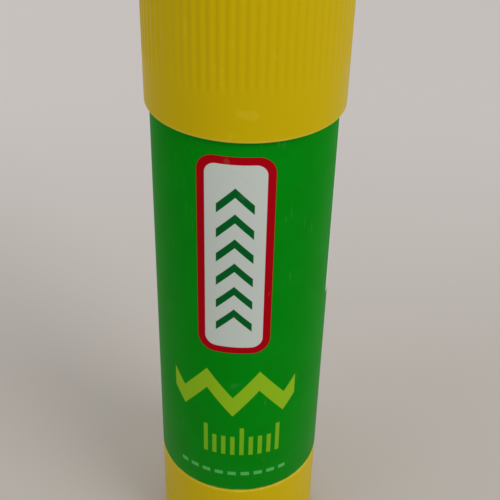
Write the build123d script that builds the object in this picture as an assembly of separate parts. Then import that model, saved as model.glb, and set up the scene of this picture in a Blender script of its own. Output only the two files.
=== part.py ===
from build123d import *
import math
import os

# Slim twist-up glue stick, standing on its turning knob with the cap on.
# The axis is Z, z = 0 is the table under the foot, and lengths are millimetres.

# Body: what the barrel's bore and walls come to, from the inside out
barrel_bore = 16.0
neck_wall = 0.85
snap_bead_height = 0.15
cap_slip = 0.05
cap_wall = 1.05
cap_stands_proud = 0.5
label_thickness = 0.1

# Barrel
body_length = 46.65
neck_length = 11.0
floor_thickness = 1.2
spigot_wall = 1.2
edge_break = 0.2
snap_bead_width = 1.4
snap_bead_rise = 3.4
guide_rib_count = 6
guide_rib_width = 0.8
guide_rib_height = 0.35
guide_rib_setback = 1.5

# Label
label_end_gap = 0.05
label_seam = 0.3

# Cap
cap_height = 26.0
cap_seat_gap = 0.15
cap_crown = 1.2
cap_crown_round = 1.3
crown_facets = 3
cap_lead_in = 0.35
cap_smooth_band = 4.4
seal_step = 0.25
seal_slope = 0.9
seal_gap = 0.3
snap_groove_depth = 0.1
snap_groove_slack = 0.3

# Fine upright grip ribs round cap and knob
grip_rib_count = 72
grip_rib_height = 0.08
grip_rib_setback = 0.03

# Turning knob
knob_height = 12.85
knob_gap = 0.15
knob_wall = 1.2
knob_plate = 1.2
foot_recess = 0.8
foot_width = 2.0
foot_break = 0.5
knob_smooth_band = 3.6
knob_web_count = 4
knob_web_height = 1.6
knob_web_width = 1.0
spigot_end_gap = 0.6
spigot_clearance = 0.15
hub_wall = 1.1
hub_gap = 0.2

# Screw spindle: a plain envelope of its thread, a sealing flange and a square tail
screw_diameter = 6.0
screw_pitch = 3.5
screw_tip_chamfer = 0.6
screw_below_mouth = 3.0
flange_reach = 2.0
flange_thickness = 0.8
seal_lip_height = 0.5
seal_lip_width = 0.6
flange_gap = 0.1
tail_across = 3.4
tail_depth = 7.8
journal_shoulder = 0.1
journal_clearance = 0.1

# Carrier: the cup that holds the glue, and its nut
carrier_clearance = 0.08
carrier_height = 6.5
carrier_floor = 1.0
carrier_wall = 0.7
carrier_lip = 1.4
carrier_relief = 0.15
nut_clearance = 0.1
nut_wall = 1.2
carrier_fin_count = 3
carrier_fin_height = 3.4
carrier_fin_width = 0.8
rib_side_clearance = 0.1
rib_top_clearance = 0.1
carrier_bottom_gap = 1.0
turns_down = 10

# Glue
glue_proud = 1.0
glue_wall_gap = 0.25
glue_rib_gap = 0.12
glue_screw_gap = 0.25
glue_crown = 0.7
glue_edge_break = 0.8

# One overrun for everything that is cut right through
overrun = 1.0

# Radii, each worked out from the bore outwards
bore_radius = barrel_bore / 2
neck_radius = bore_radius + neck_wall
bead_radius = neck_radius + snap_bead_height
cap_bore_radius = bead_radius + cap_slip
cap_radius = cap_bore_radius + cap_wall
label_radius = cap_radius - cap_stands_proud
body_radius = label_radius - label_thickness
knob_radius = label_radius
knob_bore_radius = knob_radius - knob_wall
spigot_radius = knob_bore_radius - spigot_clearance
spigot_bore_radius = spigot_radius - spigot_wall
rib_tip_radius = bore_radius - guide_rib_height
screw_radius = screw_diameter / 2
tail_corner_radius = tail_across / math.sqrt(2)
journal_radius = tail_corner_radius + journal_shoulder
floor_hole_radius = journal_radius + journal_clearance
hub_radius = tail_corner_radius + hub_wall
flange_radius = screw_radius + flange_reach
carrier_radius = bore_radius - carrier_clearance
cup_radius = carrier_radius - carrier_wall
nut_bore_radius = screw_radius + nut_clearance
nut_radius = nut_bore_radius + nut_wall
glue_radius = bore_radius - glue_wall_gap

# Heights, from the table upwards
plate_bottom = foot_recess
plate_top = plate_bottom + knob_plate
web_top = plate_top + knob_web_height
spigot_bottom = web_top + spigot_end_gap
barrel_bottom = knob_height + knob_gap
hub_top = barrel_bottom - hub_gap
tail_bottom = hub_top - tail_depth
floor_top = barrel_bottom + floor_thickness
lip_bottom = floor_top + flange_gap
flange_bottom = lip_bottom + seal_lip_height
flange_top = flange_bottom + flange_thickness
shoulder = barrel_bottom + body_length
mouth = shoulder + neck_length
screw_top = mouth - screw_below_mouth
cap_rim = shoulder + cap_seat_gap
cap_top = cap_rim + cap_height
cap_ceiling = cap_top - cap_crown
seal_bottom = mouth + seal_gap
seal_top = seal_bottom + seal_slope
carrier_bottom = flange_top + carrier_bottom_gap + turns_down * screw_pitch
carrier_top = carrier_bottom + carrier_height
cup_floor = carrier_bottom + carrier_floor
glue_edge = mouth + glue_proud - glue_crown
glue_top = mouth + glue_proud


def turned(outline):
    """A solid of revolution about Z from (radius, height) corners."""
    return revolve(Plane.XZ * make_face(Polyline(*outline, close=True)), Axis.Z)


def tube(outer, inner, bottom, top):
    """A plain tube standing on Z."""
    return turned([(inner, bottom), (outer, bottom), (outer, top), (inner, top)])


def bar(inner, outer, width, bottom, top):
    """A straight bar along +X from one radius to another, for ribs, webs and notches."""
    return Pos(inner, 0, bottom) * Box(
        outer - inner, width, top - bottom, align=(Align.MIN, Align.CENTER, Align.MIN)
    )


def around(shape, count):
    """Equal copies of a shape round the axis."""
    return [place * shape for place in PolarLocations(0, count)]


def edges_at(shape, radius, height):
    """The circular edges of a turned shape at one radius and height."""
    near = edge_break / 5
    return [
        edge
        for edge in shape.edges().filter_by(GeomType.CIRCLE)
        if abs(edge.radius - radius) < near and abs(edge.center().Z - height) < near
    ]


def grip_cutter(outer_radius, bottom, top):
    """Ring with a star-shaped hole, which cuts a band of grip ribs just inside a round surface."""
    crest_radius = outer_radius - grip_rib_setback
    valley_radius = crest_radius - grip_rib_height
    half_pitch = math.pi / grip_rib_count
    corners = []
    for rib in range(grip_rib_count):
        crest_angle = 2 * rib * half_pitch
        valley_angle = crest_angle + half_pitch
        corners.append((crest_radius * math.cos(crest_angle), crest_radius * math.sin(crest_angle)))
        corners.append((valley_radius * math.cos(valley_angle), valley_radius * math.sin(valley_angle)))
    star = make_face(Polyline(*corners, close=True))
    ring = Circle(outer_radius + overrun) - star
    return Pos(0, 0, bottom) * extrude(ring, top - bottom)


def rounded_corner(radius, height, bend, facets):
    """Outline points that turn from a wall onto a top in a few straight facets."""
    angles = [step * math.pi / 2 / facets for step in range(facets + 1)]
    return [
        (radius - bend + bend * math.cos(angle), height - bend + bend * math.sin(angle))
        for angle in angles
    ]


def make_cap():
    """Closed cap: bore over the neck, snap groove, sealing step, ribbed outside, smooth band at the rim."""
    groove_middle = shoulder + snap_bead_rise
    groove_half = snap_bead_width / 2 + snap_groove_slack
    groove_radius = cap_bore_radius + snap_groove_depth
    upper_bore_radius = cap_bore_radius - seal_step
    cap = turned(
        [
            (0, cap_ceiling),
            (0, cap_top),
            *reversed(rounded_corner(cap_radius, cap_top, cap_crown_round, crown_facets)),
            (cap_radius, cap_rim),
            (cap_bore_radius + cap_lead_in, cap_rim),
            (cap_bore_radius, cap_rim + cap_lead_in),
            (cap_bore_radius, groove_middle - groove_half),
            (groove_radius, groove_middle),
            (cap_bore_radius, groove_middle + groove_half),
            (cap_bore_radius, seal_bottom),
            (upper_bore_radius, seal_top),
            (upper_bore_radius, cap_ceiling),
        ]
    )
    cap = chamfer(edges_at(cap, cap_radius, cap_rim), edge_break)
    return cap - grip_cutter(cap_radius, cap_rim + cap_smooth_band, cap_top - cap_crown_round)


def make_barrel():
    """Barrel: body, neck with snap bead, floor with the spindle's hole, spigot for the knob, guide ribs."""
    bead_middle = shoulder + snap_bead_rise
    bead_half = snap_bead_width / 2
    barrel = turned(
        [
            (floor_hole_radius, barrel_bottom),
            (spigot_bore_radius, barrel_bottom),
            (spigot_bore_radius, spigot_bottom),
            (spigot_radius, spigot_bottom),
            (spigot_radius, barrel_bottom),
            (body_radius, barrel_bottom),
            (body_radius, shoulder),
            (neck_radius, shoulder),
            (neck_radius, bead_middle - bead_half),
            (bead_radius, bead_middle),
            (neck_radius, bead_middle + bead_half),
            (neck_radius, mouth),
            (bore_radius, mouth),
            (bore_radius, floor_top),
            (floor_hole_radius, floor_top),
        ]
    )
    barrel = chamfer(edges_at(barrel, neck_radius, mouth), edge_break)
    rib_root = bore_radius + neck_wall / 2
    rib = bar(rib_tip_radius, rib_root, guide_rib_width, floor_top, mouth - guide_rib_setback)
    return barrel + around(rib, guide_rib_count)


def make_label():
    """Label: one thin wrap from the knob to the shoulder, its butt seam at the back."""
    wrap = tube(label_radius, body_radius, barrel_bottom + label_end_gap, shoulder - label_end_gap)
    seam = bar(0, label_radius + overrun, label_seam, 0, mouth)
    return wrap - Rot(0, 0, 90) * seam


def make_knob():
    """Knob: ribbed cup round the spigot, recessed underside, hub with a square socket, short webs."""
    foot_inner = knob_radius - foot_width
    knob = turned(
        [
            (0, plate_bottom),
            (foot_inner, plate_bottom),
            (foot_inner, 0),
            (knob_radius, 0),
            (knob_radius, knob_height),
            (knob_bore_radius, knob_height),
            (knob_bore_radius, plate_top),
            (hub_radius, plate_top),
            (hub_radius, hub_top),
            (0, hub_top),
        ]
    )
    knob = chamfer(edges_at(knob, knob_radius, 0), foot_break)
    knob = chamfer(edges_at(knob, knob_radius, knob_height), edge_break)
    web_root = (hub_radius + tail_corner_radius) / 2
    web_end = (knob_bore_radius + knob_radius) / 2
    web = bar(web_root, web_end, knob_web_width, plate_top, web_top)
    knob = knob + around(web, knob_web_count)
    socket = Pos(0, 0, tail_bottom) * Box(
        tail_across, tail_across, tail_depth + overrun, align=(Align.CENTER, Align.CENTER, Align.MIN)
    )
    return knob - grip_cutter(knob_radius, foot_break, knob_height - knob_smooth_band) - socket


def make_spindle():
    """Spindle: square tail in the knob's hub, journal through the floor, lipped flange, screw envelope."""
    tail = Pos(0, 0, tail_bottom) * Box(
        tail_across, tail_across, tail_depth, align=(Align.CENTER, Align.CENTER, Align.MIN)
    )
    lip_radius = flange_radius - seal_lip_width
    shaft = turned(
        [
            (0, hub_top),
            (journal_radius, hub_top),
            (journal_radius, flange_bottom),
            (lip_radius, flange_bottom),
            (flange_radius, lip_bottom),
            (flange_radius, flange_top),
            (screw_radius, flange_top),
            (screw_radius, screw_top - screw_tip_chamfer),
            (screw_radius - screw_tip_chamfer, screw_top),
            (0, screw_top),
        ]
    )
    return shaft + tail


def make_carrier():
    """Carrier: cup with two wiping lips, notches for the guide ribs, nut tube, fins that key the glue."""
    relief_radius = carrier_radius - carrier_relief
    carrier = turned(
        [
            (nut_bore_radius, carrier_bottom),
            (carrier_radius, carrier_bottom),
            (carrier_radius, carrier_bottom + carrier_lip),
            (relief_radius, carrier_bottom + carrier_lip + carrier_relief),
            (relief_radius, carrier_top - carrier_lip - carrier_relief),
            (carrier_radius, carrier_top - carrier_lip),
            (carrier_radius, carrier_top),
            (cup_radius, carrier_top),
            (cup_radius, cup_floor),
            (nut_radius, cup_floor),
            (nut_radius, carrier_top),
            (nut_bore_radius, carrier_top),
        ]
    )
    fin_root = (nut_radius + nut_bore_radius) / 2
    fin_end = cup_radius + carrier_wall / 3
    fin = bar(fin_root, fin_end, carrier_fin_width, cup_floor, cup_floor + carrier_fin_height)
    carrier = carrier + around(fin, carrier_fin_count)
    notch_width = guide_rib_width + 2 * rib_side_clearance
    notch = bar(
        rib_tip_radius - rib_top_clearance,
        bore_radius + overrun,
        notch_width,
        carrier_bottom - overrun,
        carrier_top + overrun,
    )
    return carrier - around(notch, guide_rib_count)


def make_glue(carrier):
    """Glue: cast into the cup and round the screw, grooved by the guide ribs, head worn to a low cone."""
    hole_radius = screw_radius + glue_screw_gap
    cup_part = tube(cup_radius, nut_bore_radius, cup_floor, carrier_top)
    column = turned(
        [
            (hole_radius, carrier_top),
            (glue_radius, carrier_top),
            (glue_radius, glue_edge - glue_edge_break),
            (glue_radius - glue_edge_break, glue_edge),
            (hole_radius, glue_top),
        ]
    )
    groove = bar(
        rib_tip_radius - glue_rib_gap,
        bore_radius + overrun,
        guide_rib_width + 2 * glue_rib_gap,
        carrier_top - overrun,
        glue_top + overrun,
    )
    return (column - around(groove, guide_rib_count)) + (cup_part - carrier)


carrier_part = make_carrier()
parts = {
    "cap": make_cap(),
    "barrel": make_barrel(),
    "label": make_label(),
    "turning_knob": make_knob(),
    "screw_spindle": make_spindle(),
    "carrier": carrier_part,
    "glue_stick": make_glue(carrier_part),
}

os.makedirs("parts", exist_ok=True)
for name, shape in parts.items():
    export_step(shape, f"parts/{name}.step")
    print(name, "volume", round(shape.volume, 1), "solids", len(shape.solids()))
print("whole height", round(cap_top, 2), "label zone", round(barrel_bottom, 2), round(shoulder, 2))
print("mouth", round(mouth, 2), "carrier at", round(carrier_bottom, 2), "glue top", round(glue_top, 2))
print("glue above its cup", round(glue_top - carrier_top, 2), "headroom", round(cap_ceiling - glue_top, 2))
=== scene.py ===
# %% [markdown]
# A glue stick, dressed in Blender
#
# The object is a slim twist-up glue stick: a ribbed yellow cap, a white barrel in a printed green
# wrap, a yellow knob at the foot, and inside them a screw, a cup and the glue. The working model is
# already made at its real size. It is loaded here as a fixed frame, and every piece below is built in
# that same frame, in metres, so nothing is fitted afterwards.
#
# Each step says what the piece is on the real stick, how it could be made, and why one way was picked.

# %% The frame, and its box before anything is added
import math

import bmesh
import bpy
from mathutils import Matrix, Vector


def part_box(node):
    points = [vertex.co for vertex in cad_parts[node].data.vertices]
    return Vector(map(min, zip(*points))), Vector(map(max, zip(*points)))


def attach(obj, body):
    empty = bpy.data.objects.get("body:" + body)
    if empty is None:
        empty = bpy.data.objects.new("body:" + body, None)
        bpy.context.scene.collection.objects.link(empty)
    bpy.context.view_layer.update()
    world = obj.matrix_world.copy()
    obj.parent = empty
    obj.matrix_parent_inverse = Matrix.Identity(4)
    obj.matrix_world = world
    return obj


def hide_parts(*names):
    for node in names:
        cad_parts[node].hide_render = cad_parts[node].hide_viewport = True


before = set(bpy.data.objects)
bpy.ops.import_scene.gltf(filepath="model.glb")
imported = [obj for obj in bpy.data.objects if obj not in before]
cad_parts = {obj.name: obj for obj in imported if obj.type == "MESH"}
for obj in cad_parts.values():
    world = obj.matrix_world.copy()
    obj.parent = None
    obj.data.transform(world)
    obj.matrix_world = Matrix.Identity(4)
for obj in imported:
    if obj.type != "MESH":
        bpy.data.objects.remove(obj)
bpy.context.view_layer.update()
MM = 0.001
print("nodes", sorted(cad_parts))

# %% [markdown]
# Sizes that the frame gives
#
# The frame knows where every piece starts and ends, so most heights are read from its boxes instead
# of being typed again. Only what a box can't tell, such as the radius of a bore, is written down. All
# values are in millimetres, as a moulder would give them.

# %% Heights and radii, in millimetres
def low(node):
    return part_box(node)[0].z / MM


def high(node):
    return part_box(node)[1].z / MM


def reach(node):
    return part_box(node)[1].x / MM


cap_rim, cap_top, cap_radius = low("cap"), high("cap"), reach("cap")
label_low, label_high, label_radius = low("label"), high("label"), reach("label")
barrel_low, barrel_mouth, body_radius = low("barrel"), high("barrel"), reach("barrel")
knob_top, knob_radius = high("turning_knob"), reach("turning_knob")
screw_low, screw_high, flange_radius = low("screw_spindle"), high("screw_spindle"), reach("screw_spindle")
glue_high, glue_radius = high("glue_stick"), reach("glue_stick")
carrier_low, carrier_high = low("carrier"), high("carrier")
print("cap", cap_rim, cap_top, "label", label_low, label_high, "mouth", barrel_mouth)

# %% [markdown]
# A turned piece, ring by ring
#
# Nearly everything here is round. One way is to draw half a section and spin it. The way used is the
# one that a hand would follow in edit mode: add a circle, extrude it upwards or inwards, scale the new
# ring, and so on along the section. It leaves tidy rows of square faces, one row for each corner of
# the section, and those rows are easy to find again when ribs are pressed in later.

# %% The helper that stacks rings
weld_distance = 0.002
smooth_angle = 35


def deselect_all():
    bpy.ops.object.select_all(action="DESELECT")


def take(piece):
    """Selects one piece alone and makes it the active one."""
    deselect_all()
    piece.select_set(True)
    bpy.context.view_layer.objects.active = piece


def start_editing(piece):
    take(piece)
    bpy.ops.object.mode_set(mode="EDIT")


def stop_editing():
    """Turns every face outwards and leaves edit mode."""
    bpy.ops.mesh.select_all(action="SELECT")
    bpy.ops.mesh.normals_make_consistent(inside=False)
    bpy.ops.object.mode_set(mode="OBJECT")


def stack_rings(name, section, around):
    """One circle, extruded ring by ring along a section of (radius, height) corners."""
    deselect_all()
    radius, height = section[0]
    bpy.ops.mesh.primitive_circle_add(vertices=around, radius=radius * MM, location=(0, 0, height * MM))
    piece = bpy.context.object
    piece.name = piece.data.name = name
    bpy.ops.object.transform_apply()
    start_editing(piece)
    bpy.ops.mesh.select_all(action="SELECT")
    for next_radius, next_height in section[1:]:
        step = (0, 0, (next_height - height) * MM)
        bpy.ops.mesh.extrude_region_move(TRANSFORM_OT_translate={"value": step})
        share = next_radius / radius
        bpy.ops.transform.resize(value=(share, share, 1), center_override=(0, 0, 0))
        radius, height = next_radius, next_height
    bpy.ops.mesh.select_all(action="SELECT")
    bpy.ops.mesh.remove_doubles(threshold=weld_distance * MM)
    stop_editing()
    return piece


def corner(radius, height, bend, start, end, steps=5):
    """Section points of a round corner: an arc of radius bend about a centre, between two angles."""
    angles = [math.radians(start + (end - start) * step / steps) for step in range(steps + 1)]
    return [(radius + bend * math.cos(a), height + bend * math.sin(a)) for a in angles]


def smooth(piece):
    """Smooth shading that keeps every edge sharper than the smooth angle."""
    take(piece)
    bpy.ops.object.shade_smooth_by_angle(angle=math.radians(smooth_angle))


# %% [markdown]
# Fine upright ribs
#
# Cap and knob have seventy-two fine ribs, so that dry or sticky fingers hold them. A bump texture
# would be cheap, but the ribs would vanish at the outline and in the exported mesh. Cutting seventy-two
# grooves by booleans would work too, and leave ragged faces. The rings are already there, though, with
# eight columns for each rib, so the ribs are pressed in: the columns that lie in a flute are picked
# ring by ring and scaled towards the axis, by the depth that a soft flute has there. Where the flute
# runs out, above the smooth band, the depth fades to nothing.

# %% Pressing the flutes in
rib_count = 72
columns_per_rib = 8
columns = rib_count * columns_per_rib
flute_depth = 0.07
flute_half_columns = 3.4
least_press = 0.001


def radius_of(vertex):
    return math.hypot(vertex.co.x, vertex.co.y) / MM


def off_middle(vertex, around, spacing):
    """Columns from a vertex to the nearest middle, where middles are spacing columns apart."""
    column = round(math.atan2(vertex.co.y, vertex.co.x) / (2 * math.pi) * around)
    return abs((column + spacing // 2) % spacing - spacing // 2)


def pull_in(vertices, share):
    """Scales some vertices towards the axis, in edit mode."""
    bpy.ops.mesh.select_all(action="DESELECT")
    for vertex in vertices:
        vertex.select_set(True)
    bpy.ops.transform.resize(value=(share, share, 1), center_override=(0, 0, 0))


def flute_depth_at(column):
    """Depth of a soft-edged flute at a column, counted from the flute's middle."""
    share = min(column / flute_half_columns, 1)
    return flute_depth * (1 + math.cos(math.pi * share)) / 2


def press_flutes(piece, outer, start, end):
    """Flutes between two heights: full depth at end and beyond it, fading to nothing towards start."""
    start_editing(piece)
    mesh = bmesh.from_edit_mesh(piece.data)
    rings = {}
    for vertex in mesh.verts:
        radius = radius_of(vertex)
        height = vertex.co.z / MM
        share = (height - start) / (end - start)
        if radius > outer - flute_depth and share > 0:
            off = off_middle(vertex, columns, columns_per_rib)
            floor = outer - flute_depth_at(off) * min(share, 1)
            if floor < radius - least_press:
                rings.setdefault((round(height, 3), round(radius, 3), off), []).append(vertex)
    for (height, radius, off), vertices in rings.items():
        share = min((height - start) / (end - start), 1)
        pull_in(vertices, (outer - flute_depth_at(off) * share) / radius)
    stop_editing()
    return len(rings)


# %% [markdown]
# The cap
#
# The cap is one moulding: a closed crown with a rounded edge, a wall a millimetre thick, a bore that
# slides over the neck, a shallow groove for the neck's bead, and a step that seals above the mouth. Its
# section is a closed walk from the middle of the crown, down the outside, round the rim and up the
# bore. The lowest four or five millimetres stay smooth, as on the real one, and the rim's lower edge is
# rounded. The thin line of light along that edge is a painted highlight, a pale ring in the plastic's
# colour.

# %% Cap section and ribs
cap_wall = 1.05
cap_band = 4.4
run_out = 1.6
run_out_steps = 5
crown_round = 1.3
crown_thickness = 1.2
crown_edge = 0.4
crown_share = 0.4
rim_round = 0.2
plain_row = 2
upper_rows = (9, 13, 17, 21)
lead_in = 0.35
cap_seat_gap = 0.15
bead_rise = 3.4
groove_half = 1.0
groove_depth = 0.1
seal_gap = 0.3
seal_slope = 0.9
seal_step = 0.25
inner_round = 0.8
pole = 0.4

cap_bore = cap_radius - cap_wall
groove_middle = cap_rim - cap_seat_gap + bead_rise
seal_bore = cap_bore - seal_step
seal_start = barrel_mouth + seal_gap
seal_end = seal_start + seal_slope
ceiling = cap_top - crown_thickness
crown_ring = cap_radius * crown_share
cap_ribs_start = cap_rim + cap_band
cap_heights = [cap_ribs_start + run_out * step / run_out_steps for step in range(run_out_steps + 1)]
cap_heights += [cap_rim + row for row in upper_rows]
cap_section = (
    [(pole, cap_top), (crown_ring, cap_top), (cap_radius - crown_round - crown_edge, cap_top)]
    + corner(cap_radius - crown_round, cap_top - crown_round, crown_round, 90, 0, 10)
    + [(cap_radius, height) for height in reversed(cap_heights)]
    + [(cap_radius, cap_rim + plain_row), (cap_radius, cap_rim + 2 * rim_round)]
    + corner(cap_radius - rim_round, cap_rim + rim_round, rim_round, 0, -90, 6)
    + [(cap_bore + lead_in, cap_rim), (cap_bore, cap_rim + lead_in)]
    + [(cap_bore, groove_middle - groove_half)]
    + [(cap_bore + groove_depth, groove_middle - groove_half + groove_depth)]
    + [(cap_bore + groove_depth, groove_middle + groove_half - groove_depth)]
    + [(cap_bore, groove_middle + groove_half), (cap_bore, seal_start), (seal_bore, seal_end)]
    + corner(seal_bore - inner_round, ceiling - inner_round, inner_round, 0, 90)
    + [(crown_ring, ceiling), (pole, ceiling)]
)


def close_poles(piece):
    """Fills the small openings left at the axis with a fan of triangles."""
    start_editing(piece)
    bpy.ops.mesh.select_all(action="DESELECT")
    bpy.ops.mesh.select_non_manifold(extend=False)
    bpy.ops.mesh.fill_holes(sides=0)
    stop_editing()
    return piece


cap = close_poles(stack_rings("cap_shell", cap_section, columns))
pressed = press_flutes(cap, cap_radius, cap_ribs_start, cap_ribs_start + run_out)
smooth(cap)
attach(cap, "cap")
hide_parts("cap")
print("cap faces", len(cap.data.polygons), "flute rings", pressed)

# %% [markdown]
# The turning knob
#
# The knob is a cup that turns on the barrel's spigot. It is as wide as the label above it, has the
# cap's ribs with a smooth band at its top, and stands on a narrow foot ring round a recessed underside.
# In the middle of the recess sits the small round mark where the plastic was fed in. The hub in the cup
# holds the screw's square tail, so the tail turns with the knob, and four short webs brace the hub.
# Turned rings can't give a square hole or a web, so those are blocks, cut out and joined on by booleans.

# %% Knob section, ribs, socket and webs
knob_gap = 0.15
knob_band = 3.6
knob_wall = 1.2
knob_plate = 1.2
knob_rows = [3.5, 5.5]
foot_recess = 0.8
foot_width = 2.0
foot_round = 0.6
foot_edge = 0.3
hub_gap = 0.2
hub_radius = 3.5
tail_across = 3.4
socket_overrun = 1
gate_radius = 1.1
gate_depth = 0.15
fillet = 0.25
web_count = 4
web_height = 1.6
web_width = 1.0
web_overlap = 0.5
web_sink = 0.3

hub_top = knob_top + knob_gap - hub_gap
knob_bore = knob_radius - knob_wall
foot_inner = knob_radius - foot_width
plate_top = foot_recess + knob_plate
knob_ribs_end = knob_top - knob_band
knob_heights = [knob_ribs_end - run_out * step / run_out_steps for step in range(run_out_steps + 1)]
knob_section = (
    [(pole, foot_recess + gate_depth), (gate_radius - fillet, foot_recess + gate_depth)]
    + [(gate_radius, foot_recess), (foot_inner - fillet, foot_recess)]
    + [(foot_inner, foot_recess - fillet), (foot_inner, fillet), (foot_inner + fillet, 0)]
    + [(knob_radius - foot_round - foot_edge, 0)]
    + corner(knob_radius - foot_round, foot_round, foot_round, -90, 0, 8)
    + [(knob_radius, height) for height in knob_rows + knob_heights[::-1]]
    + [(knob_radius, knob_top - plain_row), (knob_radius, knob_top - 2 * rim_round)]
    + corner(knob_radius - rim_round, knob_top - rim_round, rim_round, 0, 90, 6)
    + [(knob_bore + fillet, knob_top), (knob_bore, knob_top - fillet)]
    + [(knob_bore, plate_top + fillet), (knob_bore - fillet, plate_top)]
    + [(hub_radius + fillet, plate_top), (hub_radius, plate_top + fillet)]
    + [(hub_radius, hub_top - fillet), (hub_radius - fillet, hub_top), (pole, hub_top)]
)


def add_block(name, inner, outer, depth, bottom, top, turn=0.0):
    """A block that reaches along the X axis from one place to another, then turned about Z."""
    deselect_all()
    middle = Vector(((inner + outer) / 2 * MM, 0, (bottom + top) / 2 * MM))
    bpy.ops.mesh.primitive_cube_add(size=1, location=middle)
    block = bpy.context.object
    block.name = name
    block.scale = ((outer - inner) * MM, depth * MM, (top - bottom) * MM)
    bpy.ops.object.transform_apply()
    block.data.transform(Matrix.Rotation(turn, 4, "Z"))
    return block


def carve(piece, other, operation):
    """Cuts one mesh from another or joins them, with an applied Boolean modifier."""
    take(piece)
    change = piece.modifiers.new("change", "BOOLEAN")
    change.operation = operation
    change.object = other
    change.solver = "EXACT"
    bpy.ops.object.modifier_apply(modifier=change.name)
    bpy.data.objects.remove(other)


def carve_around(piece, count, operation, *block_sizes):
    """Cuts or joins one block several times, evenly round the axis."""
    for number in range(count):
        carve(piece, add_block(*block_sizes, turn=2 * math.pi * number / count), operation)


knob = close_poles(stack_rings("knob_shell", knob_section, columns))
press_flutes(knob, knob_radius, knob_ribs_end, knob_ribs_end - run_out)
half_tail = tail_across / 2
socket = add_block("socket", -half_tail, half_tail, tail_across, screw_low, hub_top + socket_overrun)
carve(knob, socket, "DIFFERENCE")
web_root, web_end = hub_radius - web_overlap, knob_bore + web_overlap
web = ("web", web_root, web_end, web_width, plate_top - web_sink, plate_top + web_height)
carve_around(knob, web_count, "UNION", *web)
smooth(knob)
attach(knob, "knob")
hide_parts("turning_knob")
print("knob faces", len(knob.data.polygons))

# %% [markdown]
# The barrel
#
# White, and hidden by its label until the cap comes off. Then the neck shows, with the low bead that
# clicks into the cap, a rounded mouth, and the six slim ribs in the bore that keep the glue's cup from
# turning. The ribs are blocks joined on by a boolean, so the mesh stays one closed skin.

# %% Barrel section and guide ribs
barrel_columns = 180
neck_step = 0.65
bore_radius = 8.0
bore_row = 1
bead_height = 0.15
bead_half = 0.7
bead_curve = 0.4
bead_flat = 0.25
bead_shave = 0.03
mouth_round = 0.25
shoulder_break = 0.15
body_break = 0.05
floor_thickness = 1.2
floor_hole = 2.6
spigot_clearance = 0.15
spigot_wall = 1.2
guide_count = 6
guide_width = 0.8
guide_height = 0.35
guide_setback = 1.5
guide_root = 0.3
guide_sink = 0.5

shoulder = cap_rim - cap_seat_gap
neck_radius = body_radius - neck_step
bead_radius = neck_radius + bead_height
bead_middle = shoulder + bead_rise
body_low = knob_top + knob_gap
floor_top = body_low + floor_thickness
spigot_radius = knob_bore - spigot_clearance
spigot_bore = spigot_radius - spigot_wall
guide_tip = bore_radius - guide_height
guide_base = bore_radius + guide_root
guide_low = floor_top - guide_sink
guide_top = barrel_mouth - guide_setback
barrel_section = (
    [(floor_hole, body_low), (spigot_bore, body_low), (spigot_bore, barrel_low + fillet)]
    + [(spigot_bore + fillet, barrel_low), (spigot_radius - fillet, barrel_low)]
    + [(spigot_radius, barrel_low + fillet), (spigot_radius, body_low)]
    + [(body_radius - body_break, body_low), (body_radius, body_low + body_break)]
    + [(body_radius, shoulder - shoulder_break), (body_radius - shoulder_break, shoulder)]
    + [(neck_radius, shoulder), (neck_radius, bead_middle - bead_half)]
    + [(bead_radius - bead_shave, bead_middle - bead_curve), (bead_radius, bead_middle - bead_flat)]
    + [(bead_radius, bead_middle + bead_flat), (bead_radius - bead_shave, bead_middle + bead_curve)]
    + [(neck_radius, bead_middle + bead_half), (neck_radius, barrel_mouth - 2 * mouth_round)]
    + corner(neck_radius - mouth_round, barrel_mouth - mouth_round, mouth_round, 0, 90)
    + corner(bore_radius + mouth_round, barrel_mouth - mouth_round, mouth_round, 90, 180)
    + [(bore_radius, barrel_mouth - bore_row), (bore_radius, floor_top + bore_row)]
    + [(bore_radius, floor_top), (floor_hole, floor_top), (floor_hole, body_low)]
)
barrel = stack_rings("barrel_shell", barrel_section, barrel_columns)
guide_rib = ("guide_rib", guide_tip, guide_base, guide_width, guide_low, guide_top)
carve_around(barrel, guide_count, "UNION", *guide_rib)
smooth(barrel)
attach(barrel, "barrel")
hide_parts("barrel")
print("barrel faces", len(barrel.data.polygons))

# %% [markdown]
# The label
#
# A printed film, a tenth of a millimetre thick, wrapped once round the barrel. It meets itself at the
# back, so a strip of faces is taken out there to leave the butt seam. The film could be a plain tube,
# but a cut edge is never quite straight in the light: its ends lean in by a few hundredths.

# %% Label wrap with its seam
label_columns = 400
film_lean = 0.02
film_edge = 0.06
film_row = 12
seam_half = 0.16
label_section = (
    [(body_radius, label_low), (label_radius - film_lean, label_low)]
    + [(label_radius, label_low + film_edge), (label_radius, label_low + film_row)]
    + [(label_radius, label_low + 2 * film_row), (label_radius, label_high - film_row)]
    + [(label_radius, label_high - film_edge), (label_radius - film_lean, label_high)]
    + [(body_radius, label_high), (body_radius, label_low)]
)
label = stack_rings("label_film", label_section, label_columns)
start_editing(label)
bpy.ops.mesh.select_mode(type="FACE")
bpy.ops.mesh.select_all(action="DESELECT")
film = bmesh.from_edit_mesh(label.data)
for face in film.faces:
    middle = face.calc_center_median()
    face.select_set(middle.y > 0 and abs(middle.x) / MM < seam_half)
bpy.ops.mesh.delete(type="FACE")
bpy.ops.mesh.select_mode(type="VERT")
bpy.ops.mesh.select_all(action="DESELECT")
bpy.ops.mesh.select_non_manifold(extend=False)
bpy.ops.mesh.edge_face_add()
bpy.ops.object.mode_set(mode="OBJECT")
smooth(label)
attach(label, "barrel")
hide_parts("label")
print("label faces", len(label.data.polygons))

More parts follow.
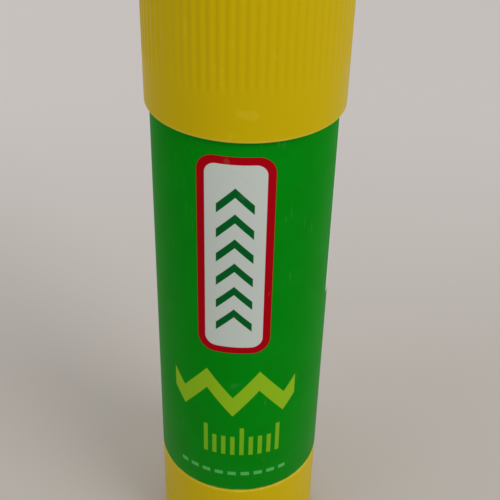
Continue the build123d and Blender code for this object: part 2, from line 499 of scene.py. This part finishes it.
# %% [markdown]
# The screw spindle
#
# The screw lifts the glue, so its thread is a real helix and not a row of rings. It could be swept along
# a curve, but a thread is the same section at every angle, so the Screw modifier suits it: one pitch of
# the section is drawn, and each turn of it lands exactly on the next. The thread is left-handed, which
# is what makes the glue rise when the knob is turned the way that feels like opening.

# %% Thread section, screwed down and trimmed
screw_pitch = 3.5
screw_radius = 3.0
core_radius = 2.15
crest_half = 0.42
crest_round = 0.08
crest_ease = 0.06
flank = 0.55
root_ease = 0.1
thread_turns = 18
thread_steps = 48
thread_sink = 0.3
thread_weld = 0.001
cut_threshold = 0.0001
tip = 0.6
spindle_columns = 96
journal_radius = 2.5
tail_overlap = 0.5
flange_low, flange_top = 14.8, 15.6
flange_break = 0.12
lip_width = 0.6
lip_height = 0.5
lip_flat = 0.06
lip_round = 0.05

crest_low = screw_pitch / 2 - crest_half
crest_high = screw_pitch / 2 + crest_half
crest = [
    (core_radius, 0.0),
    (core_radius, crest_low - flank),
    (core_radius + crest_round, crest_low - flank + root_ease),
    (screw_radius - crest_round, crest_low - crest_ease),
    (screw_radius, crest_low + crest_ease),
    (screw_radius, crest_high - crest_ease),
    (screw_radius - crest_round, crest_high + crest_ease),
    (core_radius + crest_round, crest_high + flank - root_ease),
    (core_radius, crest_high + flank),
    (core_radius, screw_pitch),
]


def draw_line(name, points):
    """A plane merged to one vertex, which is then extruded along (x, z) points."""
    deselect_all()
    bpy.ops.mesh.primitive_plane_add(size=MM)
    line = bpy.context.object
    line.name = line.data.name = name
    bpy.ops.object.mode_set(mode="EDIT")
    bpy.ops.mesh.select_all(action="SELECT")
    bpy.ops.mesh.merge(type="CENTER")
    x, z = 0, 0
    for next_x, next_z in points:
        move = ((next_x - x) * MM, 0, (next_z - z) * MM)
        if (x, z) == (0, 0):
            bpy.ops.transform.translate(value=move)
        else:
            bpy.ops.mesh.extrude_region_move(TRANSFORM_OT_translate={"value": move})
        x, z = next_x, next_z
    bpy.ops.object.mode_set(mode="OBJECT")
    return line


def trim(piece, height, keep_above):
    """Cuts a piece flat and closes the cut. The tool's own threshold is too coarse for a small screw."""
    start_editing(piece)
    bpy.ops.mesh.select_all(action="SELECT")
    bpy.ops.mesh.bisect(
        plane_co=(0, 0, height * MM),
        plane_no=(0, 0, 1),
        threshold=cut_threshold * MM,
        use_fill=True,
        clear_inner=keep_above,
        clear_outer=not keep_above,
    )
    stop_editing()


thread = draw_line("thread", [(r, screw_high + tip + z) for r, z in crest])
winding = thread.modifiers.new("winding", "SCREW")
winding.screw_offset = -screw_pitch * MM
winding.iterations = thread_turns
winding.steps = winding.render_steps = thread_steps
winding.merge_threshold = thread_weld * MM
winding.use_merge_vertices = True
bpy.ops.object.modifier_apply(modifier=winding.name)
bpy.ops.object.mode_set(mode="EDIT")
bpy.ops.mesh.select_all(action="SELECT")
bpy.ops.mesh.remove_doubles(threshold=weld_distance * MM)
bpy.ops.object.mode_set(mode="OBJECT")
trim(thread, screw_high, keep_above=False)
trim(thread, flange_top - thread_sink, keep_above=True)
point_inner, point_outer = screw_radius - 1.5 * tip, screw_radius + tip
point = [(point_inner, screw_high + tip / 2), (point_outer, screw_high - 2 * tip)]
point += [(point_outer, screw_high + tip), (point_inner, screw_high + tip)]
carve(thread, stack_rings("point_cutter", point + point[:1], spindle_columns), "DIFFERENCE")
print("thread faces", len(thread.data.polygons))

# %% Flange, journal and square tail
lip_low = flange_low - lip_height
foot_section = (
    [(pole, hub_top), (journal_radius, hub_top), (journal_radius, flange_low)]
    + [(flange_radius - lip_width, flange_low), (flange_radius - lip_flat, lip_low)]
    + [(flange_radius, lip_low + lip_round), (flange_radius, flange_top - flange_break)]
    + [(flange_radius - flange_break, flange_top), (pole, flange_top)]
)
spindle = close_poles(stack_rings("spindle_screw", foot_section, spindle_columns))
carve(spindle, thread, "UNION")
tail = add_block("tail", -half_tail, half_tail, tail_across, screw_low, hub_top + tail_overlap)
carve(spindle, tail, "UNION")
smooth(spindle)
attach(spindle, "knob")
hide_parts("screw_spindle")
print("spindle faces", len(spindle.data.polygons))

# %% [markdown]
# The glue
#
# A stick of glue is cast in its cup and then rubbed away, so its head is never as crisp as the plastic.
# Its column is turned like the rest, with a hole for the screw and six grooves where the barrel's ribs
# run. Then the head alone is pushed about by a cloudy Displace modifier, which is how a hand would wear
# it: a vertex group holds the modifier off the sides, so that they still fit the bore.

# %% Glue column, grooves and worn head
glue_columns = 288
glue_hole = 3.25
hole_break = 0.2
hole_row = 1
nut_radius = 4.3
cup_radius = 7.22
cup_thickness = 1.0
cup_step = 0.15
column_rises = (0, cup_step, 5, 9)
edge_bend = 0.9
edge_row = 2.2
head_allowance = 0.15
dome_fall = 0.55
dome_rings = 9
groove_gap = 0.12
groove_half_columns = 3
height_slack = 0.01

cup_floor = carrier_low + cup_thickness
head = glue_high - head_allowance
groove_radius = guide_tip - groove_gap
column_heights = [carrier_high + rise for rise in column_rises] + [head - edge_row]
dome_outer, dome_inner = glue_radius - edge_bend, glue_hole + hole_break
dome = []
for ring in range(1, dome_rings + 1):
    share = ring / dome_rings
    dome.append((dome_outer + (dome_inner - dome_outer) * share, head - dome_fall * (1 - share) ** 2))
glue_section = (
    [(nut_radius, cup_floor), (cup_radius, cup_floor), (cup_radius, carrier_high)]
    + [(glue_radius - (cup_step if height == carrier_high else 0), height) for height in column_heights]
    + corner(dome_outer, head - dome_fall - edge_bend, edge_bend, 0, 80, 6)
    + dome
    + [(glue_hole, head - hole_break), (glue_hole, head - hole_row), (glue_hole, carrier_high)]
    + [(nut_radius, carrier_high), (nut_radius, cup_floor)]
)
glue = stack_rings("glue_column", glue_section, glue_columns)

start_editing(glue)
column_mesh = bmesh.from_edit_mesh(glue.data)
groove_spacing = glue_columns // guide_count
grooved = {}
for vertex in column_mesh.verts:
    radius = radius_of(vertex)
    in_groove = off_middle(vertex, glue_columns, groove_spacing) <= groove_half_columns
    if in_groove and radius > groove_radius and vertex.co.z / MM > carrier_high - height_slack:
        grooved.setdefault(round(radius, 3), []).append(vertex)
for radius, vertices in grooved.items():
    pull_in(vertices, groove_radius / radius)
stop_editing()

# %% Wear on the glue's head, and the slots of the cup's fins
wear_reach = 1.2
wear_fade = 0.8
wear_margin = 0.05
wear_size = 3.2
wear_depth = 0.45
wear_level = 0.75
fin_count = 3
fin_width = 0.84
fin_inner, fin_outer = 4.15, 7.35
fin_sink = 0.2
fin_height = 3.42

worn = glue.vertex_groups.new(name="worn")
for vertex in glue.data.vertices:
    above = vertex.co.z / MM - (head - wear_reach)
    if above > 0 and radius_of(vertex) > glue_hole + wear_margin:
        worn.add([vertex.index], min(above / wear_fade, 1), "REPLACE")
cloud = bpy.data.textures.new("glue_wear", "CLOUDS")
cloud.noise_scale = wear_size * MM
cloud.noise_depth = 2
wear = glue.modifiers.new("wear", "DISPLACE")
wear.texture = cloud
wear.direction = "Z"
wear.strength = wear_depth * MM
wear.mid_level = wear_level
wear.vertex_group = worn.name
bpy.ops.object.modifier_apply(modifier=wear.name)
fin = ("fin", fin_inner, fin_outer, fin_width, cup_floor - fin_sink, cup_floor + fin_height)
carve_around(glue, fin_count, "DIFFERENCE", *fin)
smooth(glue)
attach(glue, "carrier")
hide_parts("glue_stick")
print("glue faces", len(glue.data.polygons), "grooved rings", len(grooved))

# %% [markdown]
# Tools for the materials
#
# Each finish is built from nodes. A node that several finishes share goes into a group with named
# inputs and outputs, made once and placed in each material with its own values. Colours are written as
# a paint shop would read them off a screen, from 0 to 255, and turned into the linear light that the
# renderer wants.

# %% Short names for colours, nodes and groups
def paint(red, green, blue):
    linear = []
    for value in (red, green, blue):
        share = value / 255
        linear.append(share / 12.92 if share <= 0.04045 else ((share + 0.055) / 1.055) ** 2.4)
    return (*linear, 1.0)


def connect(tree, value, socket):
    """Links a socket, or writes a plain value."""
    if isinstance(value, bpy.types.NodeSocket):
        tree.links.new(value, socket)
    else:
        socket.default_value = value


def feed(tree, node, values):
    """Links or writes values on a node's named inputs."""
    for name, value in values.items():
        connect(tree, value, node.inputs[name])


def calc(tree, operation, *values):
    node = tree.nodes.new("ShaderNodeMath")
    node.operation = operation
    for value, socket in zip(values, node.inputs):
        connect(tree, value, socket)
    return node.outputs[0]


def times(tree, first, second):
    return calc(tree, "MULTIPLY", first, second)


def plus(tree, first, second):
    return calc(tree, "ADD", first, second)


def minus(tree, first, second):
    return calc(tree, "SUBTRACT", first, second)


def larger(tree, first, second):
    return calc(tree, "MAXIMUM", first, second)


def span(tree, first, second):
    """The length of two steps at a right angle."""
    squares = [times(tree, step, step) for step in (first, second)]
    return calc(tree, "SQRT", plus(tree, *squares))


def ease(tree, value, start, end, first=0.0, last=1.0):
    """Smooth step of a value from one limit to another."""
    node = tree.nodes.new("ShaderNodeMapRange")
    node.interpolation_type = "SMOOTHSTEP"
    feed(tree, node, {"Value": value, "From Min": start, "From Max": end, "To Min": first, "To Max": last})
    return node.outputs["Result"]


def noise(tree, vector, scale, detail=2.0, roughness=0.5):
    node = tree.nodes.new("ShaderNodeTexNoise")
    feed(tree, node, {"Vector": vector, "Scale": scale, "Detail": detail, "Roughness": roughness})
    return node.outputs["Fac"]


def stretch(tree, vector, scale, turn=(0.0, 0.0, 0.0)):
    node = tree.nodes.new("ShaderNodeMapping")
    connect(tree, vector, node.inputs["Vector"])
    node.inputs["Scale"].default_value = scale
    node.inputs["Rotation"].default_value = turn
    return node.outputs["Vector"]


def tint(tree, mask, first, second):
    """Mixes two colours by a mask."""
    node = tree.nodes.new("ShaderNodeMix")
    node.data_type = "RGBA"
    for index, value in ((0, mask), (6, first), (7, second)):
        connect(tree, value, node.inputs[index])
    return node.outputs[2]


def separate(tree, vector):
    """The X, Y and Z of a vector."""
    node = tree.nodes.new("ShaderNodeSeparateXYZ")
    connect(tree, vector, node.inputs[0])
    return [node.outputs[axis] for axis in "XYZ"]


def new_group(name, inputs, outputs):
    """An empty group of number sockets. An input with None for its start value takes a place."""
    tree = bpy.data.node_groups.new(name, "ShaderNodeTree")
    for label, start in inputs.items():
        kind = "NodeSocketVector" if start is None else "NodeSocketFloat"
        socket = tree.interface.new_socket(name=label, in_out="INPUT", socket_type=kind)
        if start is not None:
            socket.default_value = start
    for label in outputs:
        tree.interface.new_socket(name=label, in_out="OUTPUT", socket_type="NodeSocketFloat")
    return tree, tree.nodes.new("NodeGroupInput").outputs, tree.nodes.new("NodeGroupOutput").inputs


def place(tree, group, **values):
    """Places a group in a tree. Underscores in a value's name stand for spaces in the socket's."""
    node = tree.nodes.new("ShaderNodeGroup")
    node.node_tree = group
    feed(tree, node, {name.replace("_", " "): value for name, value in values.items()})
    return node.outputs


def finish_of(name, **constants):
    """A material, its tree and its shader, with plain constants written on the shader's sockets."""
    material = bpy.data.materials.new(name)
    material.use_nodes = True
    shader = material.node_tree.nodes["Principled BSDF"]
    for socket, value in constants.items():
        shader.inputs[socket.replace("_", " ")].default_value = value
    return material, material.node_tree, shader


def object_place(tree):
    return tree.nodes.new("ShaderNodeTexCoord").outputs["Object"]


def raise_by(tree, shader, height, distance):
    """Feeds a height from 0 to 1 to the shader, as bump of a real depth in metres."""
    bump = tree.nodes.new("ShaderNodeBump")
    bump.inputs["Distance"].default_value = distance
    bump.inputs["Strength"].default_value = 1.0
    connect(tree, height, bump.inputs["Height"])
    tree.links.new(bump.outputs["Normal"], shader.inputs["Normal"])


print("paint sample", [round(value, 3) for value in paint(178, 154, 4)])

# %% [markdown]
# Moulded plastic
#
# Cap, knob, barrel, screw and cup all come out of steel moulds. Close up such plastic has three things
# on it: a very fine even grain from the mould, slow waves in its gloss where it flowed, and the thin
# scuffs of a pencil case. One group makes all three, and each plastic asks for its own amounts. A second
# group pales an edge: wear on most edges, and on the cap's rim a painted highlight. The edges of a
# round piece are rings, so it measures how far a point lies from a ring of a given radius and height,
# and fades out over a given reach.

# %% Group: moulded surface
plastic_grain = 9000.0
scuff_lines = [((0.3, 1.1, 0.4), (160.0, 5200.0, 420.0)), ((1.2, 0.2, 2.1), (210.0, 6400.0, 380.0))]
least_shade, shade_swing, gloss_swing = 0.965, 0.07, 0.22
scuff_pale, scuff_rough, scuff_deep = 0.12, 0.2, 0.8

moulded, given, made = new_group(
    "moulded_surface",
    {"Place": None, "Grain per metre": plastic_grain, "Roughness": 0.35, "Scuff amount": 0.5},
    ["Shade", "Roughness", "Height", "Scuffs"],
)
grain = noise(moulded, given["Place"], given["Grain per metre"], 3.0, 0.6)
flow = noise(moulded, stretch(moulded, given["Place"], (90.0, 90.0, 28.0)), 1.0, 2.0)
scuffs = 0.0
for turn, size in scuff_lines:
    streak = noise(moulded, stretch(moulded, given["Place"], size, turn), 1.0, 1.0)
    patch = noise(moulded, given["Place"], 230.0 + size[0], 1.0)
    line = times(moulded, ease(moulded, streak, 0.66, 0.74), ease(moulded, patch, 0.52, 0.66))
    scuffs = plus(moulded, scuffs, line)
scuffs = calc(moulded, "MINIMUM", times(moulded, scuffs, given["Scuff amount"]), 1.0)
shade = plus(moulded, times(moulded, flow, shade_swing), least_shade)
connect(moulded, plus(moulded, shade, times(moulded, scuffs, scuff_pale)), made["Shade"])
rougher = times(moulded, minus(moulded, flow, 0.5), gloss_swing)
rougher = plus(moulded, rougher, times(moulded, scuffs, scuff_rough))
connect(moulded, plus(moulded, rougher, given["Roughness"]), made["Roughness"])
connect(moulded, minus(moulded, grain, times(moulded, scuffs, scuff_deep)), made["Height"])
connect(moulded, scuffs, made["Scuffs"])
print("moulded surface nodes", len(moulded.nodes))

# %% Group: worn edge and painted highlight
wear_and_highlight_group, given, made = new_group(
    "edge_wear_and_highlight",
    {
        "Place": None,
        "Ring radius": 0.01,
        "Ring height": 0.0,
        "Reach": 0.0004,
        "Amount": 0.6,
        "Broken": 1.0,
    },
    ["Mask"],
)
x, y, z = separate(wear_and_highlight_group, given["Place"])
from_axis = span(wear_and_highlight_group, x, y)
outwards = minus(wear_and_highlight_group, from_axis, given["Ring radius"])
upwards = minus(wear_and_highlight_group, z, given["Ring height"])
near = minus(wear_and_highlight_group, 1.0, calc(wear_and_highlight_group, "DIVIDE", span(wear_and_highlight_group, outwards, upwards), given["Reach"]))
gaps = ease(wear_and_highlight_group, noise(wear_and_highlight_group, given["Place"], 900.0, 3.0, 0.6), 0.68, 0.42)
unbroken = minus(wear_and_highlight_group, 1.0, times(wear_and_highlight_group, gaps, given["Broken"]))
# A pale ring mask: wear on most edges, and a painted highlight on the cap's rim.
wear_and_highlight_mask = times(wear_and_highlight_group, ease(wear_and_highlight_group, near, 0.0, 0.9), unbroken)
connect(wear_and_highlight_group, times(wear_and_highlight_group, wear_and_highlight_mask, given["Amount"]), made["Mask"])
print("rubbed edge nodes", len(wear_and_highlight_group.nodes))

# %% A plastic made of both groups
scuff_share = 0.35


def wear_and_highlight_ring(tree, place_on, radius, height, reach_out, amount, broken):
    """The pale mask of one ring, for wear and for the cap rim's painted highlight, with its sizes in
    millimetres.
    """
    sizes = {"Ring_radius": radius * MM, "Ring_height": height * MM, "Reach": reach_out * MM}
    return place(tree, wear_and_highlight_group, Place=place_on, Amount=amount, Broken=broken, **sizes)["Mask"]


def surface_on(tree, place_on, grain_per_metre, roughness, scuff):
    amounts = {"Grain_per_metre": grain_per_metre, "Roughness": roughness, "Scuff_amount": scuff}
    return place(tree, moulded, Place=place_on, **amounts)


def cover(tree, shader, surface, colour, mask, pale, grain_depth):
    """Colour, gloss and grain, paler where the mask is. The grain's depth is in millimetres."""
    body = tree.nodes.new("ShaderNodeHueSaturation")
    connect(tree, colour, body.inputs["Color"])
    connect(tree, surface["Shade"], body.inputs["Value"])
    connect(tree, tint(tree, mask, body.outputs["Color"], pale), shader.inputs["Base Color"])
    connect(tree, surface["Roughness"], shader.inputs["Roughness"])
    raise_by(tree, shader, surface["Height"], grain_depth * MM)


def moulded_plastic(name, colour, pale, roughness, grain_depth, edges=(), scuff=0.5, **constants):
    """A plastic, paler on rings of (radius, height, reach, amount, broken share): wear, and on the cap's
    rim a painted highlight.
    """
    material, tree, shader = finish_of(name, **constants)
    place_on = object_place(tree)
    surface = surface_on(tree, place_on, plastic_grain, roughness, scuff)
    lighter = times(tree, surface["Scuffs"], scuff_share)
    for ring in edges:
        lighter = larger(tree, lighter, wear_and_highlight_ring(tree, place_on, *ring))
    cover(tree, shader, surface, colour, lighter, pale, grain_depth)
    return material


def dress(piece, material):
    piece.data.materials.clear()
    piece.data.materials.append(material)
    for face in piece.data.polygons:
        face.material_index = 0


rim_inset, crown_inset, foot_inset, mouth_inset = 0.06, 0.38, 0.18, 0.1
# Pale rings on the yellow. The first, on the cap's rim, is a painted highlight: a nearly unbroken pale
# line along the rim's lower edge. The crown, knob rim and foot rings are wear.
yellow_wear_and_rim_highlight = [
    (cap_radius - rim_inset, cap_rim + rim_inset, 0.34, 0.75, 0.3),
    (cap_radius - crown_inset, cap_top - crown_inset, 0.9, 0.25, 1.0),
    (knob_radius - rim_inset, knob_top - rim_inset, 0.34, 0.5, 0.6),
    (knob_radius - foot_inset, foot_inset, 0.6, 0.4, 1.0),
]
yellow_plastic = moulded_plastic(
    "yellow_plastic",
    paint(195, 169, 0),
    # Pale yellow of the worn edges and of the cap rim's painted highlight.
    paint(212, 194, 74),
    roughness=0.36,
    grain_depth=0.004,
    edges=yellow_wear_and_rim_highlight,
    scuff=0.25,
    IOR=1.42,
    Specular_IOR_Level=0.1,
)
white_plastic = moulded_plastic(
    "white_plastic",
    paint(222, 222, 216),
    paint(236, 236, 232),
    roughness=0.4,
    grain_depth=0.003,
    edges=[(neck_radius - mouth_inset, barrel_mouth, 0.4, 0.4, 1.0)],
    IOR=1.49,
)
natural_plastic = moulded_plastic(
    "natural_plastic",
    paint(214, 216, 210),
    paint(228, 229, 225),
    roughness=0.42,
    grain_depth=0.003,
    scuff=0.3,
    IOR=1.5,
    Subsurface_Weight=0.15,
    Subsurface_Radius=(0.004, 0.004, 0.004),
    Subsurface_Scale=0.5,
)
dress(cap, yellow_plastic)
dress(knob, yellow_plastic)
dress(barrel, white_plastic)
dress(spindle, natural_plastic)
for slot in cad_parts["carrier"].material_slots:
    slot.material = natural_plastic
print("plastics", [item.name for item in bpy.data.materials if "plastic" in item.name])

# %% [markdown]
# Glue
#
# Dried glue is a soft wax to look at: off-white, a little translucent, shiny where it was last pressed
# and dull where it has skinned over. The shader's own subsurface gives the depth, and noise moves the
# gloss and leaves small pits and drag marks on the head.

# %% Glue material
glue_finish, tree, shader = finish_of(
    "glue",
    IOR=1.45,
    Subsurface_Weight=0.35,
    Subsurface_Radius=(0.006, 0.005, 0.004),
    Subsurface_Scale=0.5,
)
pit_share, drag_share, glue_relief = 0.6, 0.4, 0.05
on_glue = object_place(tree)
skin = noise(tree, on_glue, 420.0, 3.0)
pits = noise(tree, on_glue, 2600.0, 2.0)
drag = noise(tree, stretch(tree, on_glue, (300.0, 3600.0, 900.0), (0.0, 0.0, 0.5)), 1.0, 2.0)
glue_colour = tint(tree, ease(tree, skin, 0.35, 0.7), paint(226, 224, 212), paint(240, 239, 231))
connect(tree, glue_colour, shader.inputs["Base Color"])
connect(tree, ease(tree, skin, 0.3, 0.7, 0.3, 0.55), shader.inputs["Roughness"])
pitted = times(tree, ease(tree, pits, 0.3, 0.45), pit_share)
relief = plus(tree, pitted, times(tree, drag, drag_share))
raise_by(tree, shader, relief, glue_relief * MM)
dress(glue, glue_finish)
print("glue nodes", len(tree.nodes))

# %% [markdown]
# The printed label
#
# The wrap is printed all over in one green, with a design in the middle. A drawing could be painted on
# an image and wrapped round, but shapes written as distances stay sharp at any size. Each group below
# measures how far a point lies from a shape, in millimetres: across is measured round the barrel from
# the front, and up from the label's lower edge. The design is plain on purpose: a framed panel with
# arrows that point the way the glue comes up, a zigzag, ruler marks, dashes, and a lined side panel.

# %% Group: place on the wrap
wrap_place, given, made = new_group(
    "place_on_wrap",
    {"Place": None, "Radius": label_radius, "Lower edge": label_low},
    ["Across", "Up"],
)
x, y, z = separate(wrap_place, given["Place"])
angle = calc(wrap_place, "ARCTAN2", x, times(wrap_place, y, -1.0))
connect(wrap_place, times(wrap_place, angle, given["Radius"]), made["Across"])
height = calc(wrap_place, "DIVIDE", z, MM)
connect(wrap_place, minus(wrap_place, height, given["Lower edge"]), made["Up"])

# %% Groups: panel, arrows, zigzag and upright marks
def shape_group(name, *sizes):
    """A group that takes a place on the wrap and named sizes in millimetres, and gives a mask."""
    inputs = {"Across": 0.0, "Up": 0.0, "Middle": 0.0, "Height": 0.0}
    inputs.update({label: 1.0 for label in sizes})
    tree, given, made = new_group(name, inputs, ["Mask"])
    across = minus(tree, given["Across"], given["Middle"])
    up = minus(tree, given["Up"], given["Height"])
    return tree, given, made, across, up


ink_edge = 0.03


def inked(tree, distance):
    """One inside a shape and nought outside it, with the soft edge of ink on film."""
    return ease(tree, distance, ink_edge, -ink_edge)


panel, given, made, across, up = shape_group("rounded_panel", "Half width", "Half height", "Corner")
side_x = minus(panel, calc(panel, "ABSOLUTE", across), given["Half width"])
side_y = minus(panel, calc(panel, "ABSOLUTE", up), given["Half height"])
side_x = plus(panel, side_x, given["Corner"])
side_y = plus(panel, side_y, given["Corner"])
out_x = calc(panel, "POWER", larger(panel, side_x, 0.0), 2.0)
out_y = calc(panel, "POWER", larger(panel, side_y, 0.0), 2.0)
outside = calc(panel, "SQRT", plus(panel, out_x, out_y))
inside = calc(panel, "MINIMUM", larger(panel, side_x, side_y), 0.0)
distance = minus(panel, plus(panel, outside, inside), given["Corner"])
connect(panel, inked(panel, distance), made["Mask"])

arrows, given, made, across, up = shape_group("stacked_arrows", "Half width", "Stroke", "Spacing", "Count")
from_middle = calc(arrows, "ABSOLUTE", across)
folded = plus(arrows, up, from_middle)
step = minus(arrows, calc(arrows, "FLOORED_MODULO", folded, given["Spacing"]), given["Stroke"])
whole = times(arrows, given["Spacing"], given["Count"])
above = minus(arrows, folded, whole)
ends = larger(arrows, times(arrows, folded, -1.0), above)
wide = minus(arrows, from_middle, given["Half width"])
across_stroke = times(arrows, step, math.sqrt(0.5))
line = larger(arrows, across_stroke, larger(arrows, ends, wide))
connect(arrows, inked(arrows, line), made["Mask"])

zigzag, given, made, across, up = shape_group("zigzag", "Rise", "Wave", "Stroke", "Half length")
swing = calc(zigzag, "PINGPONG", across, times(zigzag, given["Wave"], 0.5))
slope = calc(zigzag, "DIVIDE", times(zigzag, given["Rise"], 4.0), given["Wave"])
middle_line = minus(zigzag, times(zigzag, swing, slope), given["Rise"])
leaning = calc(zigzag, "SQRT", plus(zigzag, calc(zigzag, "POWER", slope, 2.0), 1.0))
away = calc(zigzag, "DIVIDE", calc(zigzag, "ABSOLUTE", minus(zigzag, up, middle_line)), leaning)
away = minus(zigzag, away, times(zigzag, given["Stroke"], 0.5))
beyond = minus(zigzag, calc(zigzag, "ABSOLUTE", across), given["Half length"])
connect(zigzag, inked(zigzag, larger(zigzag, away, beyond)), made["Mask"])

mark_sizes = ("Tall", "Short", "Width", "Pitch", "Half length")
marks, given, made, across, up = shape_group("upright_marks", *mark_sizes)
half_pitch = times(marks, given["Pitch"], 0.5)
half_width = times(marks, given["Width"], 0.5)
turn_by = plus(marks, across, half_pitch)
in_cell = minus(marks, calc(marks, "FLOORED_MODULO", turn_by, given["Pitch"]), half_pitch)
number = calc(marks, "FLOOR", calc(marks, "DIVIDE", turn_by, given["Pitch"]))
is_tall = calc(marks, "LESS_THAN", calc(marks, "FLOORED_MODULO", number, 4.0), 0.5)
taller_by = minus(marks, given["Tall"], given["Short"])
reach_up = plus(marks, given["Short"], times(marks, is_tall, taller_by))
narrow = minus(marks, calc(marks, "ABSOLUTE", in_cell), half_width)
high_end = larger(marks, minus(marks, up, reach_up), times(marks, up, -1.0))
beyond = minus(marks, calc(marks, "ABSOLUTE", across), given["Half length"])
edge = larger(marks, narrow, larger(marks, high_end, beyond))
connect(marks, inked(marks, edge), made["Mask"])
print("shape groups", [group.name for group in (panel, arrows, zigzag, marks)])

# %% The label's film and inks
film_grain, film_grain_depth = 5200.0, 0.003
film_roughness, film_scuffs, film_scuff_share = 0.4, 0.12, 0.3

film_finish, tree, shader = finish_of("printed_film", IOR=1.33, Specular_IOR_Level=0.06)
on_label = object_place(tree)
wrap = place(tree, wrap_place, Place=on_label, Radius=label_radius, Lower_edge=label_low)


def draw(group, middle, height, **sizes):
    """The mask of one shape, placed on the label by its middle across and its height."""
    place_at = {"Across": wrap["Across"], "Up": wrap["Up"], "Middle": middle, "Height": height}
    return place(tree, group, **place_at, **sizes)["Mask"]


film_surface = surface_on(tree, on_label, film_grain, film_roughness, film_scuffs)
cloudy = ease(tree, noise(tree, on_label, 260.0, 3.0), 0.3, 0.7)

# %% The printed design, from its lowest layer of ink to its highest
design = -0.7
ruler_shift = 1.1
panel_height, arrows_low, zigzag_height, ruler_low, dashes_low = 33.2, 26.2, 15.3, 5.9, 2.5
side_middle, side_height = 20.3, 35.2
border_size = dict(Half_width=3.95, Half_height=11.9, Corner=1.9)
field_size = dict(Half_width=3.1, Half_height=11.05, Corner=1.2)
arrow_size = dict(Half_width=1.9, Stroke=1.05, Spacing=2.9, Count=6.0)
zigzag_size = dict(Rise=1.9, Wave=5.9, Stroke=1.7, Half_length=7.4)
ruler_size = dict(Tall=4.3, Short=2.9, Width=0.5, Pitch=1.06, Half_length=4.8)
dash_size = dict(Tall=0.55, Short=0.55, Width=1.0, Pitch=1.55, Half_length=6.6)
side_size = dict(Half_width=7.8, Half_height=10.8, Corner=0.4)
lined_size = dict(Half_width=6.6, Half_height=9.0, Corner=0.1)
line_spacing, line_shift, line_width, line_blur, line_strength = 1.7, 0.4, 0.5, 0.06, 0.8

layers = [
    (draw(panel, design, panel_height, **border_size), paint(160, 0, 16)),
    (draw(panel, design, panel_height, **field_size), paint(188, 196, 190)),
    (draw(arrows, design, arrows_low, **arrow_size), paint(2, 88, 34)),
    (draw(zigzag, design, zigzag_height, **zigzag_size), paint(136, 178, 28)),
    (draw(marks, design + ruler_shift, ruler_low, **ruler_size), paint(116, 172, 28)),
    (draw(marks, design, dashes_low, **dash_size), paint(84, 178, 92)),
    (draw(panel, side_middle, side_height, **side_size), paint(205, 210, 206)),
]
colour = tint(tree, cloudy, paint(0, 126, 10), paint(0, 130, 13))
for mask, ink in layers:
    colour = tint(tree, mask, colour, ink)
lines_up = calc(tree, "FLOORED_MODULO", plus(tree, wrap["Up"], line_shift), line_spacing)
lined = draw(panel, side_middle, side_height, **lined_size)
line_mask = times(tree, ease(tree, lines_up, line_width, line_width - line_blur), lined)
colour = tint(tree, times(tree, line_mask, line_strength), colour, paint(60, 110, 78))
film_edge_wear = wear_and_highlight_ring(tree, on_label, label_radius, label_low, reach_out=0.25, amount=0.3, broken=1.0)
rubbed_film = larger(tree, times(tree, film_surface["Scuffs"], film_scuff_share), film_edge_wear)
cover(tree, shader, film_surface, colour, rubbed_film, paint(170, 190, 172), film_grain_depth)
dress(label, film_finish)
print("label nodes", len(tree.nodes))

# %% [markdown]
# Floor, light and camera
#
# The stick stands on a pale table, so one large plane is the floor. Its colour is darker towards the
# camera and round the stick's foot, and paler further back: a painted shadow. The light is soft: a
# bright room all round and three wide lamps. The strongest stands to the right of the camera and above
# it, which is the side on which the real one is brighter. A weak one fills in from the left, and one
# from behind lifts the edges. The camera looks down at about thirty-five degrees from close by, so the
# stick narrows towards its foot.

# %% Floor
floor_size = 4
deselect_all()
bpy.ops.mesh.primitive_plane_add(size=floor_size)
floor = bpy.context.object
floor.name = "floor"
table, tree, shader = finish_of("pale_table_painted_shadow", Roughness=0.7)
# Painted shadow: the floor colour goes from the darker paint in front of and round the stick to the pale
# paint behind it.
painted_shadow_near, painted_shadow_far = -0.02, 0.13
along_view = separate(tree, object_place(tree))[1]
painted_shadow_fade = ease(tree, along_view, painted_shadow_near, painted_shadow_far)
connect(tree, tint(tree, painted_shadow_fade, paint(176, 169, 162), paint(194, 188, 186)), shader.inputs["Base Color"])
dress(floor, table)

# %% Lights
middle_of_stick = Vector((0, 0, 0.05))
scene = bpy.context.scene
world = scene.world or bpy.data.worlds.new("room")
scene.world = world
world.use_nodes = True
room = world.node_tree.nodes["Background"]
room.inputs["Color"].default_value = (1.0, 0.99, 0.975, 1.0)
room.inputs["Strength"].default_value = 0.66


def lamp(name, place_at, size, power):
    """A round lamp in metres and watts, aimed at the middle of the stick."""
    deselect_all()
    bpy.ops.object.light_add(type="AREA", location=place_at)
    light = bpy.context.object
    light.name = name
    light.data.shape = "DISK"
    light.data.size = size
    light.data.energy = power
    aim = middle_of_stick - Vector(place_at)
    light.rotation_euler = aim.to_track_quat("-Z", "Y").to_euler()


lamp("key", (0.55, -0.45, 0.6), size=0.5, power=3.5)
lamp("fill", (-0.55, -0.4, 0.5), size=0.4, power=0.6)
lamp("back", (-0.3, 0.65, 0.55), size=0.4, power=1.2)

# %% Camera
camera_data = bpy.data.cameras.new("camera")
camera = bpy.data.objects.new("camera", camera_data)
scene.collection.objects.link(camera)
camera_data.lens = 68.76
camera_data.sensor_width = 36
camera_data.clip_start = 0.001
camera_place = (0.0009, -0.0870, 0.10125)
pitch, roll, yaw = 0.60434, 0.02445, -0.00102
turned = Matrix.Rotation(-yaw, 4, "Z") @ Matrix.Rotation(math.pi / 2 - pitch, 4, "X")
camera.matrix_world = Matrix.Translation(camera_place) @ turned @ Matrix.Rotation(roll, 4, "Z")
scene.camera = camera
scene.view_settings.view_transform = "Standard"
print("camera at", [round(value, 4) for value in camera.location])
